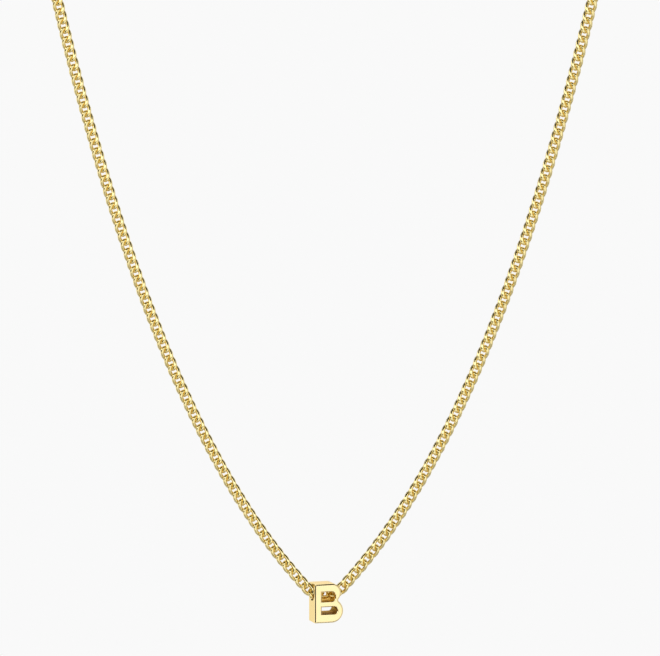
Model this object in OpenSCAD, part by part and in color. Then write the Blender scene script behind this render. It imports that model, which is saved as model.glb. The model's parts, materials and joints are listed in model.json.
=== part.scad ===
// Initial pendant on a fine curb chain, hanging as a closed loop.
// The loop lies in the XZ plane with its front towards -Y. The origin is the underside of the
// clasp, where the loop hangs over the back of a neck or a display form.

/* [Letter] */
// Height of the letter
letter_h = 5.3; // [4.8:0.1:6.2]
// Width of the letter, to the end of its lower bowl
letter_w = 4.0; // [3.8:0.1:4.6]
// Depth of the letter, from its front to its back
letter_t = 3.0; // [2.7:0.1:3.6]
// Width of the upright stem
stem_w = 0.97; // [0.8:0.01:1.1]
// Thickness of the bottom bar
bottom_bar = 1.24; // [1.0:0.02:1.4]
// Thickness of the middle bar
middle_bar = 0.79; // [0.6:0.01:0.9]
// Thickness of the top bar
top_bar = 1.1; // [1.0:0.02:1.3]
// Height of the lower counter, the smaller of the two holes
lower_counter_h = 0.92; // [0.8:0.02:1.1]
// Radius of the upper bowl's outline
upper_bowl_r = 1.25; // [1.15:0.01:1.35]
// Height that the two bowls share where they run into each other
bowl_lap = 0.4; // [0.3:0.02:0.5]
// How far the upper bowl stands back from the lower bowl's end
upper_setback = 0.3; // [0.2:0.02:0.4]
// Thickness of the bowls' walls beside the counters
bowl_wall = 0.86; // [0.75:0.01:0.95]
// Radius of the upper counter's right corners
upper_corner_r = 0.5; // [0.3:0.05:0.6]
// Turn of the letter about the vertical, as it hangs on the chain
letter_turn = 17; // [0:1:25]

/* [Channel] */
// Radius of the channel that the chain runs through
channel_r = 1.0; // [0.95:0.01:1.1]
// Thickness of metal left above the channel
channel_roof = 0.28; // [0.2:0.01:0.4]
// Width of the bevel round each mouth of the channel
mouth_bevel = 0.12; // [0.05:0.01:0.2]
// Clearance of the chain's upper edge from the bevel of a mouth
mouth_clear = 0.08; // [0.03:0.01:0.1]
// Clearance of the chain's lower edge over the channel's floor, in the letter's middle
floor_clear = 0.15; // [0.05:0.01:0.3]

/* [Chain] */
// Length of the whole loop, with the clasp
loop_len = 406; // [380:1:460]
// Width of the chain, across its flat side
chain_w = 1.4; // [1.1:0.05:1.45]
// Thickness of the chain
chain_t = 0.95; // [0.7:0.05:1.1]
// Horizontal pull in the hanging chain, as a length of chain
chain_pull = 27; // [20:0.5:40]
// Slope of the chain where it leaves the letter, in degrees from level
mouth_slope = 46; // [35:1:48]

/* [Clasp] */
// Outer diameter of the clasp's ring
clasp_d = 5.0; // [4:0.1:7]
// Wire diameter of the clasp's ring
clasp_wire = 0.9; // [0.6:0.05:1.2]
// Inner diameter of the eyes that take the ends of the chain
eye_d = 0.86; // [0.7:0.02:1.2]
// Wire diameter of the eyes
eye_wire = 0.44; // [0.3:0.02:0.6]
// Depth that the eyes are soldered into the ring
eye_sink = 0.33; // [0.2:0.01:0.4]
// Diameter of the thumb stud on the ring
stud_d = 0.7; // [0.5:0.05:0.9]
// Gap between an eye and the end of the chain
chain_gap = 0.15; // [0.1:0.01:0.3]

/* [Hidden] */
$fn = 96;
gold = [0.93, 0.78, 0.42];
cut = 1; // how far a cutter runs past the metal

// Heights in the letter, from its foot
lower_bowl_r = (letter_h + bowl_lap) / 2 - upper_bowl_r;
lower_counter_z = bottom_bar;
upper_counter_z = lower_counter_z + lower_counter_h + middle_bar;
upper_counter_h = letter_h - top_bar - upper_counter_z;
channel_z = letter_h - channel_roof - channel_r;

// Places across the letter, from the stem's outer face
upper_reach = letter_w - upper_setback;
lower_bowl_x = letter_w - lower_bowl_r;
upper_bowl_x = upper_reach - upper_bowl_r;
mouth_half = upper_reach / 2;

// The chain's height from the channel's axis, at the mouths and in the letter's middle
mouth_rise = channel_r + mouth_bevel - (chain_w / 2 + mouth_clear) / cos(mouth_slope);
inner_sag = channel_r - chain_w / 2 - floor_clear;

// The chain's route: a hanging curve each side, closed by an arc over the top
mouth_x = mouth_half * cos(letter_turn);
mouth_y = mouth_half * sin(letter_turn);
inner_half_len = mouth_half + (2 / 3) * pow(mouth_rise + inner_sag, 2) / mouth_half;
mouth_load = chain_pull * tan(mouth_slope);
hang_len = solve_hang(0.2 * loop_len, 0.45 * loop_len, 40);
arc_r = arc_radius(hang_len);
arc_drop = hang_lean(hang_len);
top_z = clasp_d / 2;
arc_z = top_z - arc_r;
letter_axis_z = arc_z - arc_r * sin(arc_drop) - hang_rise(hang_len) - mouth_rise;

// The clasp's eyes, and the angle of the arc where the chain starts beside them
eye_ring_r = (eye_d + eye_wire) / 2;
eye_end_r = eye_ring_r + eye_wire / 2;
eye_x = clasp_d / 2 + eye_end_r - eye_sink;
chain_start = asin((eye_x + eye_end_r + chain_gap) / arc_r);

// Rings of the chain's tube along each stretch, and its sides
hang_steps = 22;
arc_steps = 14;
inner_steps = 4;
tube_sides = 8;

function asinh(x) = ln(x + sqrt(x * x + 1));

// Distance out from the mouth, and height above it, after a length s of hanging chain
function hang_out(s) =
    chain_pull * (asinh((s + mouth_load) / chain_pull) - asinh(mouth_load / chain_pull));
function hang_rise(s) =
    sqrt(pow(chain_pull, 2) + pow(s + mouth_load, 2)) - sqrt(pow(chain_pull, 2) + pow(mouth_load, 2));

// Angle of the hanging chain from the vertical, after a length s
function hang_lean(s) = atan(chain_pull / (s + mouth_load));

// The arc that a hanging length s runs into, and half the loop that the two make
function arc_radius(s) = (mouth_x + hang_out(s)) / cos(hang_lean(s));
function half_loop(s) =
    inner_half_len + s + arc_radius(s) * (90 + hang_lean(s)) * PI / 180;

// The hanging length that gives the whole loop its length, by halving an interval
function solve_hang(low, high, n) =
    let (mid = (low + high) / 2)
    n == 0 ? mid
    : half_loop(mid) < loop_len / 2 ? solve_hang(mid, high, n - 1)
    : solve_hang(low, mid, n - 1);

// Points of the right-hand half, from the letter's middle to the clasp. The chain leaves the
// turned letter in front of or behind the loop's plane, and comes back to it by the top.
half_len = half_loop(hang_len);
function out_of_plane(s) = mouth_y * (1 - s / (half_len - inner_half_len));
inner_points = [for (i = [1 : inner_steps / 2])
    let (f = i / (inner_steps / 2))
    [f * mouth_x, f * mouth_y, letter_axis_z - inner_sag + (mouth_rise + inner_sag) * f * f]];
hang_points = [for (i = [1 : hang_steps])
    let (s = hang_len * i / hang_steps)
    [mouth_x + hang_out(s), out_of_plane(s), letter_axis_z + mouth_rise + hang_rise(s)]];
arc_points = [for (i = [1 : arc_steps])
    let (
        span = 90 + arc_drop - chain_start,
        a = -arc_drop + span * i / arc_steps,
        s = hang_len + arc_r * (a + arc_drop) * PI / 180
    )
    [arc_r * cos(a), out_of_plane(s), arc_z + arc_r * sin(a)]];
right_half = concat(inner_points, hang_points, arc_points);
middle_point = [[0, 0, letter_axis_z - inner_sag]];
left_half = [for (i = [len(right_half) - 1 : -1 : 0])
    [-right_half[i][0], -right_half[i][1], right_half[i][2]]];
chain_route = concat(left_half, middle_point, right_half);

// A tube of the chain's width and thickness along a route, with its flat side to the front
module chain_tube(route) {
    n = len(route);
    front = [0, 1, 0];
    ring_points = [for (i = [0 : n - 1])
        let (
            ahead = route[min(i + 1, n - 1)],
            behind = route[max(i - 1, 0)],
            across = cross(front, ahead - behind),
            side = across / norm(across)
        )
        for (k = [0 : tube_sides - 1])
            route[i] + side * (chain_w / 2) * cos(360 * k / tube_sides)
                + front * (chain_t / 2) * sin(360 * k / tube_sides)];
    walls = [for (i = [0 : n - 2]) for (k = [0 : tube_sides - 1])
        let (k2 = (k + 1) % tube_sides, a = i * tube_sides, b = a + tube_sides)
        [a + k, b + k, b + k2, a + k2]];
    start_cap = [for (k = [0 : tube_sides - 1]) k];
    end_cap = [for (k = [tube_sides - 1 : -1 : 0]) (n - 1) * tube_sides + k];
    polyhedron(points = ring_points, faces = concat(walls, [start_cap, end_cap]));
}

// A counter, square at the stem and rounded at its two right corners
module counter(w, h, corner_r) {
    r = min(corner_r, h / 2);
    square([w - r, h]);
    for (z = [r, h - r]) translate([w - r, z]) circle(r = r);
    if (h > 2 * r) translate([0, r]) square([w, h - 2 * r]);
}

module letter_face() {
    difference() {
        union() {
            square([lower_bowl_x, 2 * lower_bowl_r]);
            translate([lower_bowl_x, lower_bowl_r]) circle(r = lower_bowl_r);
            translate([0, letter_h - 2 * upper_bowl_r]) square([upper_bowl_x, 2 * upper_bowl_r]);
            translate([upper_bowl_x, letter_h - upper_bowl_r]) circle(r = upper_bowl_r);
        }
        translate([stem_w, lower_counter_z])
            counter(letter_w - bowl_wall - stem_w, lower_counter_h, lower_counter_h / 2);
        translate([stem_w, upper_counter_z])
            counter(upper_reach - bowl_wall - stem_w, upper_counter_h, upper_corner_r);
    }
}

module channel() {
    translate([-cut, 0, channel_z]) rotate([0, 90, 0])
        cylinder(h = upper_reach + 2 * cut, r = channel_r);
    translate([0, 0, channel_z]) rotate([0, 90, 0])
        cylinder(h = mouth_bevel, r1 = channel_r + mouth_bevel, r2 = channel_r);
    translate([upper_reach - mouth_bevel, 0, channel_z]) rotate([0, 90, 0])
        cylinder(h = mouth_bevel, r1 = channel_r, r2 = channel_r + mouth_bevel);
}

module letter() {
    color(gold)
    translate([0, 0, letter_axis_z]) rotate([0, 0, letter_turn])
    translate([-mouth_half, 0, -channel_z])
    difference() {
        translate([0, letter_t / 2, 0]) rotate([90, 0, 0])
            linear_extrude(letter_t) letter_face();
        channel();
    }
}

module chain() {
    color(gold) chain_tube(chain_route);
}

// A ring that stands in the loop's plane, and lies along Y
module wire_ring(ring_r, wire_r) {
    rotate([90, 0, 0]) rotate_extrude() translate([ring_r, 0]) circle(r = wire_r);
}

module clasp() {
    color(gold) translate([0, 0, top_z]) {
        wire_ring((clasp_d - clasp_wire) / 2, clasp_wire / 2);
        for (side = [-1, 1]) translate([side * eye_x, 0, 0]) wire_ring(eye_ring_r, eye_wire / 2);
        rotate([0, 45, 0]) translate([0, 0, (clasp_d - clasp_wire) / 2])
            cylinder(h = clasp_wire, d = stud_d);
    }
}

letter();
chain();
clasp();
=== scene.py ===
# Initial pendant: a thick gold letter on a fine curb chain, hanging as a closed loop
import json
import math
import random

import bpy
from mathutils import Matrix, Vector


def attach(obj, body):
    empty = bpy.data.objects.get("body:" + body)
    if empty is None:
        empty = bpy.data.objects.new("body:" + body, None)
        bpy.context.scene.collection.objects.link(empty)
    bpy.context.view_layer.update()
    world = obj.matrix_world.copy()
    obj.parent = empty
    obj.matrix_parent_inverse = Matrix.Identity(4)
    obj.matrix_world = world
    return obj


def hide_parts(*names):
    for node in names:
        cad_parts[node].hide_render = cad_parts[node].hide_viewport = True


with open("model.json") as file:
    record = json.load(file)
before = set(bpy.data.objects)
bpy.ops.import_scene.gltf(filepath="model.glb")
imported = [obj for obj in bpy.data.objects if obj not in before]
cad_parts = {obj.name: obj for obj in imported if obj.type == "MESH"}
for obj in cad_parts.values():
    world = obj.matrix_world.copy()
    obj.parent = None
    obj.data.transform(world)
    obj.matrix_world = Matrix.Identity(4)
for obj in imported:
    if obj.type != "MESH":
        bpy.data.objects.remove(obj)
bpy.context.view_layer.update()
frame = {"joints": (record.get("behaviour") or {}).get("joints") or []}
mm = 0.001
print("stage: frame loaded")


# camera: a long lens at the photo's low angle, slightly above the letter
camera = {
    "distance": 1.0,
    "elevation": math.radians(7.3),
    "lens": 407.5,           # mm, on a 36 mm sensor
    "aimX": 0.00067,         # the letter hangs a little left of the picture's middle
    "aimZ": -0.12935,
}


def addCamera(c):
    data = bpy.data.cameras.new("camera")
    data.lens = c["lens"]
    data.sensor_width = 36.0
    data.clip_start = 0.01
    data.clip_end = 50.0
    cam = bpy.data.objects.new("camera", data)
    bpy.context.collection.objects.link(cam)
    aim = Vector((c["aimX"], 0.0, c["aimZ"]))
    back = Vector((0.0, -math.cos(c["elevation"]), math.sin(c["elevation"])))
    cam.location = aim + back * c["distance"]
    cam.rotation_euler = (-back).to_track_quat("-Z", "Y").to_euler()
    bpy.context.scene.camera = cam


addCamera(camera)


# shader helpers: a wrapped socket that adds Math nodes when it is added or multiplied
class shade:
    def __init__(self, tree, socket=None):
        self.tree = tree
        self.socket = socket

    def node(self, kind, settings, inputs, output=0):
        made = self.tree.nodes.new("ShaderNode" + kind)
        for name, value in settings.items():
            if name == "stops":
                fillRamp(made.color_ramp, value)
            else:
                setattr(made, name, value)
        for name, value in inputs.items():
            if isinstance(value, shade):
                self.tree.links.new(value.socket, made.inputs[name])
            else:
                made.inputs[name].default_value = value
        return None if output is None else shade(self.tree, made.outputs[output])

    def combine(self, operation, first, second):
        return self.node("Math", {"operation": operation}, {0: first, 1: second})

    def __add__(self, other):
        return self.combine("ADD", self, other)

    def __sub__(self, other):
        return self.combine("SUBTRACT", self, other)

    def __rsub__(self, other):
        return self.combine("SUBTRACT", other, self)

    def __mul__(self, other):
        return self.combine("MULTIPLY", self, other)

    __radd__ = __add__
    __rmul__ = __mul__


def fillRamp(ramp, stops):
    while len(ramp.elements) < len(stops):
        ramp.elements.new(0.5)
    for element, (place, value) in zip(ramp.elements, stops):
        element.position = place
        element.color = (value, value, value, 1.0)


def startNodes(owner):
    owner.use_nodes = True
    owner.node_tree.nodes.clear()
    return shade(owner.node_tree)


def noiseAt(sheet, place, size, detail):
    return sheet.node("TexNoise", {}, {"Vector": place, "Scale": 1 / size, "Detail": detail})


def mixColour(sheet, share, first, second):
    return sheet.node("Mix", {"data_type": "RGBA"}, {"Factor": share, 6: first, 7: second}, 2)


# polished gold plate: a warm base, faint cloudiness, fine rub marks and a soft cast waviness
goldGrain = {
    "cloudDetail": 3.0,
    "rubDetail": 2.0,
    "rubStretch": (1.0, 1.0, 0.18),      # the marks run up and down
    "waveDetail": 1.0,
    "wornStops": [(0.38, 0.0), (0.66, 1.0)],
    "wornShare": 0.5,
}
goldLooks = {                    # sizes and heights are in metres
    "letter_gold": {
        "base": (0.98, 0.82, 0.45, 1.0),
        "worn": (0.97, 0.79, 0.40, 1.0),
        "edge": (1.0, 0.86, 0.60, 1.0),        # colour of the glancing reflection
        "roughness": (0.055, 0.13),
        "cloudSize": 0.0016,
        "rubSize": 0.00012,
        "rubHeight": 0.0000004,
        "waveSize": 0.0022,
        "waveHeight": 0.0000035,
        "recess": (0.50, 0.29, 0.04, 1.0),     # painted shade, dark brown, in the counters and the channel
        "rubbed": (0.88, 0.60, 0.12, 1.0),     # lighter painted shade in the upper counter and the channel, for the light the chain throws back
        "recessDull": 0.45,
    },
    "chain_gold": {
        "base": (0.92, 0.78, 0.38, 1.0),
        "worn": (0.90, 0.74, 0.33, 1.0),
        "edge": (1.0, 0.86, 0.60, 1.0),        # colour of the glancing reflection
        "roughness": (0.14, 0.22),
        "cloudSize": 0.0030,
        "rubSize": 0.00010,
        "rubHeight": 0.0000006,
        "waveSize": 0.0009,
        "waveHeight": 0.000003,
    },
    "clasp_gold": {
        "base": (0.92, 0.78, 0.38, 1.0),
        "worn": (0.90, 0.74, 0.33, 1.0),
        "edge": (1.0, 0.86, 0.60, 1.0),        # colour of the glancing reflection
        "roughness": (0.08, 0.18),
        "cloudSize": 0.0025,
        "rubSize": 0.00012,
        "rubHeight": 0.0000006,
        "waveSize": 0.0015,
        "waveHeight": 0.000003,
    },
}


def goldPlate(name, look, grain):
    material = bpy.data.materials.new(name)
    sheet = startNodes(material)
    place = sheet.node("TexCoord", {}, {}, "Object")
    rubPlace = sheet.node("Mapping", {}, {"Vector": place, "Scale": grain["rubStretch"]})
    cloud = noiseAt(sheet, place, look["cloudSize"], grain["cloudDetail"])
    rub = noiseAt(sheet, rubPlace, look["rubSize"], grain["rubDetail"])
    wave = noiseAt(sheet, place, look["waveSize"], grain["waveDetail"])
    patch = sheet.node("ValToRGB", {"stops": grain["wornStops"]}, {"Fac": cloud})
    colour = mixColour(sheet, patch * grain["wornShare"], look["base"], look["worn"])
    low, high = look["roughness"]
    roughness = (cloud + rub) * ((high - low) / 2) + low
    # painted shade: the letter's counters and channel are coloured dark brown and made duller,
    # with a lighter painted shade in the upper counter
    if "recess" in look:
        recess = sheet.node("Attribute", {"attribute_name": "recess"}, {}, "Fac")
        rubbed = sheet.node("Attribute", {"attribute_name": "rubbed"}, {}, "Fac")
        tone = mixColour(sheet, rubbed, look["recess"], look["rubbed"])
        colour = mixColour(sheet, recess, colour, tone)
        roughness = roughness + recess * look["recessDull"]
    height = rub * look["rubHeight"] + wave * look["waveHeight"]
    bump = sheet.node("Bump", {}, {"Height": height, "Distance": 1.0, "Strength": 1.0})
    metal = sheet.node("BsdfPrincipled", {}, {
        "Base Color": colour, "Metallic": 1.0, "Roughness": roughness, "Normal": bump,
        "Specular Tint": look["edge"],
    })
    sheet.node("OutputMaterial", {}, {"Surface": metal}, None)
    return material


golds = {name: goldPlate(name, look, goldGrain) for name, look in goldLooks.items()}
print("stage: gold made")


# pieces are modelled in millimetres, then brought to metres and to their place
toMetres = Matrix.Scale(mm, 4)
weld = 0.0005                    # mm, points nearer than this are one point
joint = next(j for j in frame["joints"] if j["name"] == "letter_turn")
channelAxis = Vector(joint["axis"]).normalized()
channelMiddle = Vector(joint["pos_m"]) / mm


def deselect():
    if bpy.context.object and bpy.context.object.mode == "EDIT":
        bpy.ops.object.mode_set(mode="OBJECT")
    bpy.ops.object.select_all(action="DESELECT")


def applyModifier(piece, kind, settings):
    deselect()
    piece.select_set(True)
    bpy.context.view_layer.objects.active = piece
    modifier = piece.modifiers.new(kind, kind)
    for name, value in settings.items():
        setattr(modifier, name, value)
    bpy.ops.object.modifier_apply(modifier=modifier.name)


def pickVertices(piece, wanted):
    bpy.context.view_layer.objects.active = piece
    piece.select_set(True)
    bpy.ops.object.mode_set(mode="EDIT")
    bpy.ops.mesh.select_mode(type="VERT")
    bpy.ops.mesh.select_all(action="DESELECT")
    bpy.ops.object.mode_set(mode="OBJECT")
    for vertex in piece.data.vertices:
        vertex.select = wanted(vertex.co)
    bpy.ops.object.mode_set(mode="EDIT")


def cutWith(piece, tool, operation):
    applyModifier(piece, "BOOLEAN", {"object": tool, "operation": operation, "solver": "EXACT"})
    bpy.data.objects.remove(tool, do_unlink=True)


def joinPieces(pieces, name):
    deselect()
    for piece in pieces:
        piece.select_set(True)
    bpy.context.view_layer.objects.active = pieces[0]
    bpy.ops.object.join()
    pieces[0].name = name
    return pieces[0]


def seat(piece, place, look):
    piece.data.transform(toMetres @ place)
    piece.data.materials.clear()
    piece.data.materials.append(golds[look])


def smoothShade(piece, angle):
    deselect()
    piece.select_set(True)
    bpy.context.view_layer.objects.active = piece
    bpy.ops.object.shade_smooth_by_angle(angle=angle)


def normalsByEdge(mesh):         # of the two faces that meet there
    normals = {}
    for face in mesh.polygons:
        for key in face.edge_keys:
            normals.setdefault(key, []).append(face.normal)
    return normals


# letter: outlines drawn point by point, extruded through the depth, rounded and bored
letterCut = {
    "height": 5.3,
    "width": 4.0,
    "depth": 3.0,
    "stem": 0.97,
    "bottomBar": 1.24,
    "middleBar": 0.79,
    "topBar": 1.1,
    "lowerCounter": 0.92,
    "upperBowl": 1.25,       # radii of the bowls' outlines
    "lowerBowl": 1.6,
    "upperSetback": 0.3,
    "waist": 0.28,           # rounding of the notch between the bowls
    "bowlWall": 0.86,
    "upperCorner": 0.5,
    "channel": 1.0,
    "roof": 0.28,
    "rim": 0.28,             # rounding of the front and back rims
    "counterRim": 0.22,
    "edge": 0.10,            # rounding of the stem's corners, from front to back
    "mouthBevel": 0.12,
    "mouthZones": (0.2, 0.8),            # how far in the mouths' edges lie, left and right
    "arcSteps": 40,          # steps in half a circle
    "crease": math.radians(35),          # flatter edges are shaded smooth
    "near": 0.02,            # a point this close to a counter's box is in it
    "behindRim": 0.6,        # share of a counter's rim where its painted shade and duller finish start
    "flatFace": 0.999,       # cosines from the front, of its faces and of the corners at
    "flatCorner": 0.9,       # its rims that take its normal
}


def startOutline(name, u, v):
    deselect()
    bpy.ops.mesh.primitive_plane_add(size=1.0, location=(0, 0, 0))
    piece = bpy.context.active_object
    piece.name = name
    bpy.ops.object.mode_set(mode="EDIT")
    bpy.ops.mesh.merge(type="CENTER")
    bpy.ops.transform.translate(value=(u, 0, v))
    return piece


def lineBy(u, v):
    bpy.ops.mesh.extrude_region_move(TRANSFORM_OT_translate={"value": (u, 0, v)})


def arcRound(u, v, degrees, steps):
    bpy.ops.mesh.spin(
        steps=steps, angle=math.radians(degrees), center=(u, 0, v), axis=(0, 1, 0)
    )


def thicken(piece, front, depth):
    bpy.ops.mesh.select_all(action="SELECT")
    bpy.ops.mesh.remove_doubles(threshold=weld)
    bpy.ops.mesh.edge_face_add()
    bpy.ops.transform.translate(value=(0, front, 0))
    bpy.ops.mesh.extrude_region_move(TRANSFORM_OT_translate={"value": (0, depth, 0)})
    bpy.ops.mesh.select_all(action="SELECT")
    bpy.ops.mesh.normals_make_consistent(inside=False)
    bpy.ops.object.mode_set(mode="OBJECT")
    return piece


def counterTool(name, c, left, foot, right, height, corner):
    piece = startOutline(name, left, foot)
    steps = c["arcSteps"] // 2
    lineBy(right - corner - left, 0)
    arcRound(right - corner, foot + corner, 90, steps)
    if height > 2 * corner + weld:
        lineBy(0, height - 2 * corner)
    arcRound(right - corner, foot + height - corner, 90, steps)
    lineBy(left - right + corner, 0)
    return thicken(piece, -c["depth"], 2 * c["depth"])


def letterBody(c):
    lowerU = c["width"] - c["lowerBowl"]
    upperU = c["width"] - c["upperSetback"] - c["upperBowl"]
    upperV = c["height"] - c["upperBowl"]
    lowerReach = c["lowerBowl"] + c["waist"]
    upperReach = c["upperBowl"] + c["waist"]
    across = Vector((upperU - lowerU, upperV - c["lowerBowl"]))
    gap = across.length

    def corner(near, far):       # of the triangle from bowl to bowl to the waist's rounding
        return math.degrees(math.acos((near ** 2 + gap ** 2 - far ** 2) / (2 * near * gap)))

    lean = math.degrees(math.atan2(across.x, across.y))
    toWaist = corner(lowerReach, upperReach)
    fromWaist = corner(upperReach, lowerReach)
    way = math.radians(90 - lean - toWaist)
    waistU = lowerU + lowerReach * math.cos(way)
    waistV = c["lowerBowl"] + lowerReach * math.sin(way)
    piece = startOutline("letter_block", 0, 0)
    lineBy(lowerU, 0)
    arcRound(lowerU, c["lowerBowl"], 180 - toWaist - lean, c["arcSteps"])
    arcRound(waistU, waistV, toWaist + fromWaist - 180, c["arcSteps"] // 4)
    arcRound(upperU, upperV, 180 - fromWaist + lean, c["arcSteps"])
    lineBy(-upperU, 0)
    return thicken(piece, -c["depth"] / 2, c["depth"])


def inCounter(place, c, counters):
    near = c["near"]
    return any(
        left - near < place.x < right + near and foot - near < place.z < foot + tall + near
        for left, foot, right, tall in counters
    )


def onChannel(place, c, channelV):
    return abs(math.hypot(place.y, place.z - channelV) - c["channel"]) < c["near"] / 2


def weighRims(piece, c, counters):
    mesh = piece.data
    weights = mesh.attributes.new("bevel_weight_edge", "FLOAT", "EDGE").data
    normals = normalsByEdge(mesh)
    for edge in mesh.edges:
        first, second = normals[tuple(sorted(edge.vertices))]
        if first.angle(second) < c["crease"]:
            continue
        ends = [mesh.vertices[i].co for i in edge.vertices]
        width = c["rim"]
        if all(inCounter(end, c, counters) for end in ends):
            width = c["counterRim"]
        if abs(ends[0].y - ends[1].y) > c["depth"] / 2:
            width = c["edge"]
        weights[edge.index].value = width / c["rim"]


def bevelMouths(piece, c, channelV):
    pickVertices(piece, lambda place: False)
    bpy.ops.mesh.select_mode(type="EDGE")
    bpy.ops.object.mode_set(mode="OBJECT")
    mesh = piece.data
    normals = normalsByEdge(mesh)
    leftZone, rightZone = c["mouthZones"]
    rightStart = c["width"] - c["upperSetback"] - rightZone
    for edge in mesh.edges:
        ends = [mesh.vertices[i].co for i in edge.vertices]
        first, second = normals[tuple(sorted(edge.vertices))]
        edge.select = (
            all(onChannel(end, c, channelV) for end in ends)
            and (ends[0].x < leftZone or ends[0].x > rightStart)
            and first.angle(second) > c["crease"]
        )
    bpy.ops.object.mode_set(mode="EDIT")
    bpy.ops.mesh.bevel(offset=c["mouthBevel"], segments=1, affect="EDGES", clamp_overlap=False)
    bpy.ops.mesh.select_mode(type="VERT")
    bpy.ops.object.mode_set(mode="OBJECT")


# marks the faces that get painted shade: the channel and the counters' walls behind their rims,
# and those above the middle bar for the lighter painted shade
def paintRecessShade(piece, c, counters, channelV):
    mesh = piece.data
    wallHalf = c["depth"] / 2 - c["counterRim"] * c["behindRim"]
    paintedBounceFrom = c["bottomBar"] + c["lowerCounter"] + c["middleBar"] / 2
    for name in ("recess", "rubbed"):
        mesh.attributes.new(name, "FLOAT", "FACE")
    recess, rubbed = (mesh.attributes[name].data for name in ("recess", "rubbed"))
    for face in mesh.polygons:
        corners = [mesh.vertices[i].co for i in face.vertices]
        inShade = all(
            onChannel(place, c, channelV)
            or (abs(place.y) < wallHalf and inCounter(place, c, counters))
            for place in corners
        )
        recess[face.index].value = 1.0 if inShade else 0.0
        rubbed[face.index].value = 1.0 if corners[0].z > paintedBounceFrom else 0.0


def evenFlats(piece, c):         # the front and back keep one normal right up to their rims
    mesh = piece.data
    front = channelAxis.cross(Vector((0, 0, 1)))
    flats = {}
    for face in mesh.polygons:
        if abs(face.normal.dot(front)) > c["flatFace"]:
            for i in face.vertices:
                flats[i] = face.normal.copy()
    normals = [corner.vector.copy() for corner in mesh.corner_normals]
    for loop in mesh.loops:
        flat = flats.get(loop.vertex_index)
        if flat and normals[loop.index].dot(flat) > c["flatCorner"]:
            normals[loop.index] = flat
    mesh.normals_split_custom_set(normals)


def makeLetter(c):
    letter = letterBody(c)
    reach = c["width"] - c["upperSetback"]
    lower = c["bottomBar"]
    upper = lower + c["lowerCounter"] + c["middleBar"]
    upperTall = c["height"] - c["topBar"] - upper
    channelV = c["height"] - c["roof"] - c["channel"]
    lowerRound = c["lowerCounter"] / 2
    lowerRight = c["width"] - c["bowlWall"]
    counters = [
        (c["stem"], lower, lowerRight, c["lowerCounter"]),
        (c["stem"], upper, reach - c["bowlWall"], upperTall),
    ]
    for counter, corner in zip(counters, (lowerRound, c["upperCorner"])):
        cutWith(letter, counterTool("counter_cut", c, *counter, corner), "DIFFERENCE")
    weighRims(letter, c, counters)
    applyModifier(letter, "BEVEL", {
        "width": c["rim"], "segments": 5, "limit_method": "WEIGHT", "use_clamp_overlap": False,
        "loop_slide": False,
    })
    deselect()
    bpy.ops.mesh.primitive_cylinder_add(
        vertices=2 * c["arcSteps"], radius=c["channel"], depth=3 * c["width"],
        location=(c["width"] / 2, 0, channelV), rotation=(0, math.pi / 2, 0),
    )
    cutWith(letter, bpy.context.active_object, "DIFFERENCE")
    bevelMouths(letter, c, channelV)
    paintRecessShade(letter, c, counters, channelV)
    letter.name = "letter_polished"
    turn = Vector((1, 0, 0)).rotation_difference(channelAxis).to_matrix().to_4x4()
    place = Matrix.Translation(channelMiddle) @ turn
    place = place @ Matrix.Translation((-reach / 2, 0, -channelV))
    seat(letter, place, "letter_gold")
    smoothShade(letter, c["crease"])
    applyModifier(letter, "WEIGHTED_NORMAL", {"keep_sharp": True, "weight": 100})
    evenFlats(letter, c)
    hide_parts("letter")
    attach(letter, "letter_bead")


makeLetter(letterCut)
print("stage: letter made")


# chain: one twisted oval link, copied along the hanging route and joined strand by strand
chainRun = {
    "length": 406.0,         # of the loop with its clasp
    "pull": 27.0,            # horizontal pull, as a length of chain
    "slope": 46.0,           # of the strands where they leave the letter
    "mouthRise": -0.003,     # from the channel's axis
    "mouthDip": 0.09,        # the links lie lower in the mouths than the route does
    "dipLength": 8.0,
    "sag": 0.15,
    "arcTop": 2.5,           # the clasp's middle line above the neck rest
    "lastLinkX": 4.14,       # the last link, hooked in the clasp's eye
}
chainLink = {
    "pitch": 1.287,
    "halfLong": 0.92,        # of a link's wire, along its middle line
    "halfWide": 0.62,
    "wire": 0.50,
    "shrink": 0.72,          # how far one subdivision draws the wire in
    "twist": 134.0,
    "ground": 0.54,          # the twisted links are ground flat, front and back
    "around": 12,
    "sides": 6,
    "sway": 2.0,             # degrees that a link may roll
    "crease": math.radians(60),
}


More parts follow.
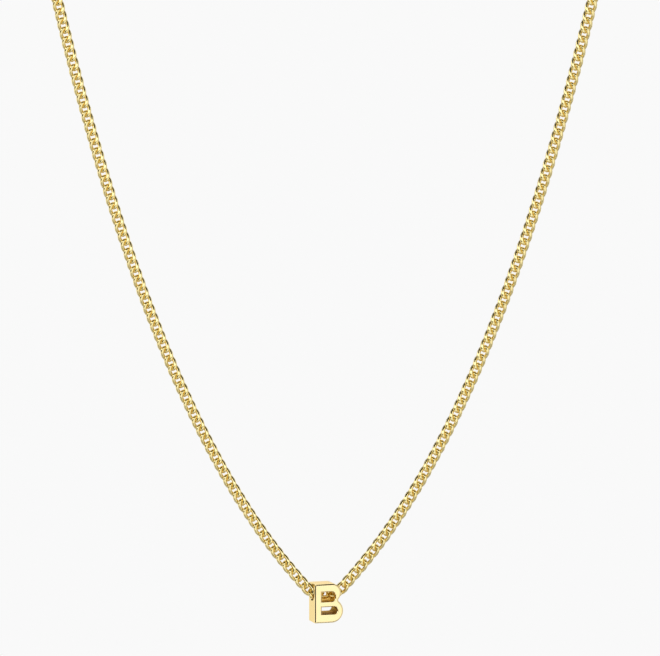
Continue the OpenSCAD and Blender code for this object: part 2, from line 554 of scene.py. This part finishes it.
def hangingRoute(run):
    pull, load = run["pull"], run["pull"] * math.tan(math.radians(run["slope"]))
    half = (letterCut["width"] - letterCut["upperSetback"]) / 2
    mouth = channelAxis * half
    rise = run["mouthRise"] + run["sag"] - run["mouthDip"]
    inner = half + 2 / 3 * rise ** 2 / half

    def out(s):
        return pull * (math.asinh((s + load) / pull) - math.asinh(load / pull))

    def up(s):
        return math.hypot(pull, s + load) - math.hypot(pull, load)

    def arcOf(s):
        drop = math.atan(pull / (s + load))
        radius = (mouth.x + out(s)) / math.cos(drop)
        return drop, radius, inner + s + radius * (math.pi / 2 + drop)

    low, high = 0.2 * run["length"], 0.45 * run["length"]
    for step in range(50):
        hang = (low + high) / 2
        if arcOf(hang)[2] < run["length"] / 2:
            low = hang
        else:
            high = hang
    drop, radius, total = arcOf(hang)
    arcZ = run["arcTop"] - radius

    def point(s):                # s runs from the letter's middle, to the left below zero
        side = -1 if s < 0 else 1
        s = abs(s)
        aside = mouth.y * (1 - max(0, s - inner) / (total - inner))
        if s < inner:
            share = s / inner
            x, z = mouth.x * share, channelMiddle.z - run["sag"] + rise * share ** 2
            aside = mouth.y * share
        elif s < inner + hang:
            x = mouth.x + out(s - inner)
            dip = run["mouthDip"] * max(0, 1 - (s - inner) / run["dipLength"]) ** 2
            z = channelMiddle.z + run["mouthRise"] + up(s - inner) - dip
        else:
            angle = (s - inner - hang) / radius - drop
            x, z = radius * math.cos(angle), arcZ + radius * math.sin(angle)
        return Vector((side * x, side * aside, z))

    lastAngle = math.acos(run["lastLinkX"] / radius)
    last = inner + hang + radius * (lastAngle + drop)
    return point, last


def oneLink(link, hand):
    deselect()
    bpy.ops.mesh.primitive_torus_add(
        major_segments=link["around"], minor_segments=link["sides"],
        major_radius=link["halfWide"], minor_radius=link["wire"] / 2 / link["shrink"],
    )
    piece = bpy.context.active_object
    stretch = link["halfLong"] - link["halfWide"]
    for side in (-1, 1):         # the round ring is drawn out into a long oval
        pickVertices(piece, lambda place: place.x * side > weld)
        bpy.ops.transform.translate(value=(side * stretch, 0, 0))
        bpy.ops.object.mode_set(mode="OBJECT")
    applyModifier(piece, "SIMPLE_DEFORM", {
        "deform_method": "TWIST", "deform_axis": "X", "angle": math.radians(hand * link["twist"]),
    })
    for side in (-1, 1):
        level = side * link["ground"]
        pickVertices(piece, lambda place: place.z * side > link["ground"])
        bpy.ops.transform.resize(value=(1, 1, 0), center_override=(0, 0, level))
        bpy.ops.object.mode_set(mode="OBJECT")
    return piece


def linkPlace(point, s, pitch, roll):
    here = (point(s + pitch / 2) + point(s - pitch / 2)) / 2
    along = (point(s + pitch / 2) - point(s - pitch / 2)).normalized()
    front = Vector((0, -1, 0))
    across = front.cross(along).normalized()
    front = along.cross(across)
    turn = Matrix((along, across, front)).transposed().to_4x4()
    return Matrix.Translation(here) @ turn @ Matrix.Rotation(roll, 4, "X")


def makeStrand(name, link, side, point, last):
    count = round(last / link["pitch"])
    pitch = last / count
    base = oneLink(link, -side)
    dice = random.Random(name)
    links = []
    for i in range(0 if side < 0 else 1, count + 1):
        roll = math.radians(dice.uniform(-link["sway"], link["sway"]))
        copy = bpy.data.objects.new(name, base.data.copy())
        bpy.context.collection.objects.link(copy)
        copy.data.transform(linkPlace(point, side * i * pitch, pitch, roll))
        links.append(copy)
    bpy.data.objects.remove(base, do_unlink=True)
    strand = joinPieces(links, name)
    seat(strand, Matrix.Identity(4), "chain_gold")
    applyModifier(strand, "SUBSURF", {"levels": 1, "render_levels": 1})
    smoothShade(strand, link["crease"])
    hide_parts("chain")
    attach(strand, "necklace")


routePoint, lastLink = hangingRoute(chainRun)
makeStrand("left_strand", chainLink, -1, routePoint, lastLink)
makeStrand("right_strand", chainLink, 1, routePoint, lastLink)
print("stage: chain made")


# clasp: a spring ring with its thumb stud and two soldered eyes, in one piece
claspRing = {
    "outer": 5.0,
    "wire": 0.9,
    "eyeHole": 0.86,
    "eyeWire": 0.44,
    "eyeSink": 0.33,
    "ringSteps": (96, 32),               # around the ring, and round its wire
    "eyeSteps": (64, 24),
    "stud": 0.7,
    "studTurn": math.radians(45),        # from the top, to the right
    "studEdge": 0.12,
    "grain": 0.06,           # of the mesh that fuses the solder
    "smooth": 4,
    "crease": math.radians(60),
}


def addRing(middleRadius, wire, x, steps):
    around, sides = steps
    deselect()
    bpy.ops.mesh.primitive_torus_add(
        major_segments=around, minor_segments=sides, major_radius=middleRadius,
        minor_radius=wire / 2, location=(x, 0, 0), rotation=(math.pi / 2, 0, 0),
    )
    return bpy.context.active_object


def makeClasp(c):
    ringRadius = (c["outer"] - c["wire"]) / 2
    eyeRadius = (c["eyeHole"] + c["eyeWire"]) / 2
    eyeX = c["outer"] / 2 + eyeRadius + c["eyeWire"] / 2 - c["eyeSink"]
    clasp = addRing(ringRadius, c["wire"], 0, c["ringSteps"])
    for side in (-1, 1):
        eye = addRing(eyeRadius, c["eyeWire"], side * eyeX, c["eyeSteps"])
        cutWith(clasp, eye, "UNION")
    deselect()
    studMiddle = c["outer"] / 2
    bpy.ops.mesh.primitive_cylinder_add(
        vertices=32, radius=c["stud"] / 2, depth=c["wire"],
        location=(math.sin(c["studTurn"]) * studMiddle, 0, math.cos(c["studTurn"]) * studMiddle),
        rotation=(0, c["studTurn"], 0),
    )
    stud = bpy.context.active_object
    applyModifier(stud, "BEVEL", {"width": c["studEdge"], "segments": 3, "limit_method": "ANGLE"})
    cutWith(clasp, stud, "UNION")
    applyModifier(clasp, "REMESH", {"mode": "VOXEL", "voxel_size": c["grain"]})
    applyModifier(clasp, "SMOOTH", {"factor": 0.5, "iterations": c["smooth"]})
    clasp.name = "clasp_ring"
    deselect()
    clasp.select_set(True)
    bpy.context.view_layer.objects.active = clasp
    bpy.ops.object.transform_apply(location=True, rotation=True, scale=True)
    seat(clasp, Matrix.Translation((0, 0, c["outer"] / 2)), "clasp_gold")
    smoothShade(clasp, c["crease"])
    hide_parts("clasp")
    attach(clasp, "necklace")


makeClasp(claspRing)
print("stage: clasp made")


# floor: plain pale board, well below the pendant and out of the picture
board = {
    "radius": 0.5,
    "level": -0.62,
    "thickness": 0.01,
    "pale": (0.86, 0.86, 0.85, 1.0),
    "faint": (0.82, 0.82, 0.81, 1.0),
    "grain": 0.02,
    "grainDetail": 4.0,
    "roughness": (0.55, 0.75),
}


def makeBoard(c):
    deselect()
    bpy.ops.mesh.primitive_cylinder_add(
        vertices=96, radius=c["radius"], depth=c["thickness"],
        location=(0, 0, c["level"] - c["thickness"] / 2),
    )
    piece = bpy.context.active_object
    piece.name = "floor_board"
    bpy.ops.object.transform_apply(location=True, rotation=True, scale=True)
    material = bpy.data.materials.new("board_paint")
    sheet = startNodes(material)
    place = sheet.node("TexCoord", {}, {}, "Object")
    grain = noiseAt(sheet, place, c["grain"], c["grainDetail"])
    low, high = c["roughness"]
    paint = sheet.node("BsdfPrincipled", {}, {
        "Base Color": mixColour(sheet, grain, c["pale"], c["faint"]),
        "Roughness": grain * (high - low) + low,
    })
    sheet.node("OutputMaterial", {}, {"Surface": paint}, None)
    piece.data.materials.append(material)


makeBoard(board)
print("stage: floor made")


# studio: a white tent round the object, with a black roof and a black wall by the camera, a
# lit band between them, a soft box under the lens, a grey right side, and two black cards and
# a pale one behind. Angles are in degrees: the azimuth is 0 at the camera and grows to the
# right, the elevation is 0 at the object's height.
studio = {
    "frontGlow": 1.16,
    "backGlow": 1.15,
    "backToFront": (0.25, -0.25),        # y of the direction, where one glow fades to the other
    "floorGlow": 0.42,
    "floorFrom": (-25, -45),
    "upSoftness": 0.6,                   # of the cards' upper and lower edges
    "cards": {                   # azimuth, elevation, half width, half height, softness, glow
        "roof": (1, 63, 104, 30.6, 3, 0.03),
        "wall": (-31, -8, 60.5, 17.5, 4, 0.02),
        "softbox": (9, -25, 29, 27, 2, 1.17),
        "band": (-30, 26, 80, 6, 2, 2.0),
        "rightSide": (110, 0, 60, 38, 2, 0.69),
        "leftFlag": (-137, 21, 17, 20, 3, 0.03),
        "crown": (135, 65, 36, 14, 3, 0.03),
        "backdrop": (180, -7.3, 44, 18, 4, 0.948),
    },
    "background": 0.948,         # what is seen behind the piece from any side, plain and pale
}


def makeTent(c):
    world = bpy.data.worlds.new("tent")
    bpy.context.scene.world = world
    sky = startNodes(world)
    way = sky.node("TexCoord", {}, {}, "Generated")
    x, y, z = (sky.node("SeparateXYZ", {}, {"Vector": way}, axis) for axis in "XYZ")

    def maths(operation, *values):
        return sky.node("Math", {"operation": operation}, dict(enumerate(values)))

    def rise(value, low, high):
        return sky.node("MapRange", {"interpolation_type": "SMOOTHSTEP"},
                        {"Value": value, "From Min": low, "From Max": high})

    azimuth = maths("DEGREES", maths("ARCTAN2", x, y * -1))
    elevation = maths("DEGREES", maths("ARCSINE", z))
    glow = rise(y, *c["backToFront"]) * (c["frontGlow"] - c["backGlow"]) + c["backGlow"]
    glow = glow + (c["floorGlow"] - glow) * rise(elevation, *c["floorFrom"])
    for across, up, halfWidth, halfHeight, soft, level in c["cards"].values():
        aside = maths("ABSOLUTE", maths("WRAP", azimuth - across, 180, -180))
        above = maths("ABSOLUTE", elevation - up)
        softUp = soft * c["upSoftness"]
        inside = rise(aside, halfWidth + soft, halfWidth - soft)
        inside = inside * rise(above, halfHeight + softUp, halfHeight - softUp)
        glow = glow + (level - glow) * inside
    seen = sky.node("LightPath", {}, {}, "Is Camera Ray")
    glow = glow + (c["background"] - glow) * seen
    light = sky.node("Background", {}, {"Color": (1, 1, 1, 1), "Strength": glow})
    sky.node("OutputWorld", {}, {"Surface": light}, None)


makeTent(studio)
bpy.context.scene.view_settings.view_transform = "Standard"
print("stage: studio made")

bpy.context.view_layer.update()
